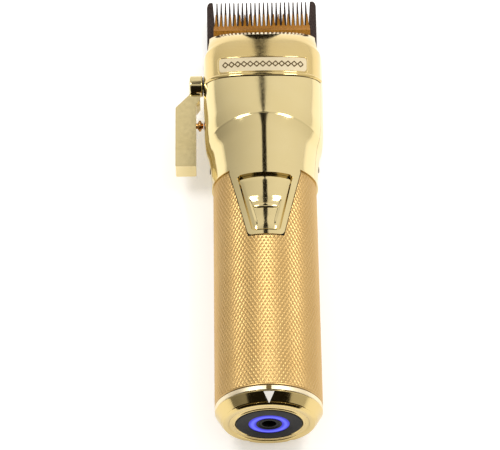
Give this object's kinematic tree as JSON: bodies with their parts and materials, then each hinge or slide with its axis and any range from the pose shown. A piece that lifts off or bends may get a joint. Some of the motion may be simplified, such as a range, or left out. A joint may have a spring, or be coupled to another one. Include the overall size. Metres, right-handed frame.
{
  "type": "hair clipper",
  "caption": "Cordless hair clipper: knurled round grip with pull-out battery and lit base, polished head, power slide, side taper lever and tilted comb and cutter blades.",
  "frame": {"origin": "centre of the base rim, on the axis of the grip, at the charging socket", "axes": "+Y along the grip to the blades, +Z to the power switch side, +X to the right seen from the switch side with the blades up"},
  "size_m": [0.0588, 0.1967, 0.041],
  "materials": {
    "polished_gold": "polished, plated",
    "polished_gold_deep": "polished, plated",
    "knurled_gold": "fine diamond knurl, satin plated",
    "satin_champagne": "satin anodised",
    "white_enamel": "gloss",
    "black_abs": "moulded, gloss",
    "dark_bronze": "pressed brass, browned",
    "blue_light": "lit light guide",
    "dark_plastic": "moulded",
    "white_plastic": "moulded",
    "green_board": "solder mask",
    "cell_wrap": "shrink wrap",
    "brass": "turned",
    "spring_steel": "drawn",
    "steel": "machined",
    "black_steel": "blackened",
    "graphite_steel": "dark coated, ground",
    "gold_steel": "gold coated, ground",
    "magnet": "sintered",
    "copper": "wound wire",
    "wire_red": "extruded"
  },
  "bodies": {
    "housing": {"trim_ring": "satin_champagne", "index_mark": "dark_bronze", "grip_sleeve": "knurled_gold", "battery_guide": "dark_plastic", "battery_catch_spring": "spring_steel", "contact_block": "dark_plastic", "contact_pins": "brass", "inner_chassis": "dark_plastic", "control_board": "green_board", "board_spacers": "brass", "switch_board": "green_board", "micro_switch": "dark_plastic", "motor_leads": "wire_red", "motor_can": "steel", "motor_magnets": "magnet", "motor_end_bell": "steel", "motor_bushes": "brass", "motor_mount_plate": "steel", "motor_screws": "steel", "front_housing": "polished_gold", "front_cover": "polished_gold_deep", "label_plate": "satin_champagne", "rear_housing": "polished_gold", "rating_plate": "satin_champagne", "housing_screws": "black_steel", "side_screws": "black_steel", "blade_seat": "steel", "blade_screws": "black_steel", "comb_blade": "graphite_steel", "carriage_screws": "steel", "lever_bush": "dark_plastic"},
    "battery": {"base_disc": "black_abs", "led_ring": "blue_light", "charge_jack": "black_abs", "charge_board": "green_board", "battery_tube": "dark_plastic", "battery_cell": "cell_wrap", "cell_holder": "white_plastic", "battery_top_cap": "dark_plastic", "battery_contacts": "brass"},
    "cap": {"cap_ring": "polished_gold", "cap_arrow": "white_enamel"},
    "rotor": {"motor_shaft": "steel", "armature": "copper", "commutator": "copper", "eccentric": "steel", "counterweight": "steel", "drive_pin": "steel"},
    "carriage": {"cutter_carriage": "steel", "tension_springs": "spring_steel"},
    "cutter": {"cutter_blade": "gold_steel", "cutter_yoke": "white_plastic"},
    "lever": {"taper_lever": "polished_gold", "lever_shaft": "steel", "lever_cam": "steel", "lever_screw": "steel", "detent_pin": "brass"},
    "switch": {"switch_slider": "polished_gold", "switch_stem": "dark_plastic"}
  },
  "joints": [
    {"name": "battery_pull", "type": "slide", "parent": "housing", "child": "battery", "axis": [0, -1, 0], "range_m": [0, 0.08], "deforming": ["battery_catch_spring"]},
    {"name": "cap_twist", "type": "hinge", "parent": "battery", "child": "cap", "pos_m": [0, 0, 0], "axis": [0, 1, 0], "range_deg": [0, 30]},
    {"name": "motor_spin", "type": "hinge", "parent": "housing", "child": "rotor", "pos_m": [0, 0.105, -0.001], "axis": [0, 1, 0], "continuous": true},
    {"name": "taper_lever", "type": "hinge", "parent": "housing", "child": "lever", "pos_m": [-0.024, 0.1498, -0.002], "axis": [-1, 0, 0], "range_deg": [0, 45]},
    {"name": "blade_set", "type": "slide", "parent": "housing", "child": "carriage", "axis": [0, 0.9826, 0.1857], "range_m": [0, 0.00304]},
    {"name": "cutter_stroke", "type": "slide", "parent": "carriage", "child": "cutter", "axis": [1, 0, 0], "range_m": [-0.0012, 0.0012]},
    {"name": "power_switch", "type": "slide", "parent": "housing", "child": "switch", "axis": [0, 1, 0], "range_m": [0, 0.0018]}
  ],
  "couplings": [
    {"joint": "blade_set", "follows": "taper_lever", "m_per_rad": 0.0038678}
  ]
}
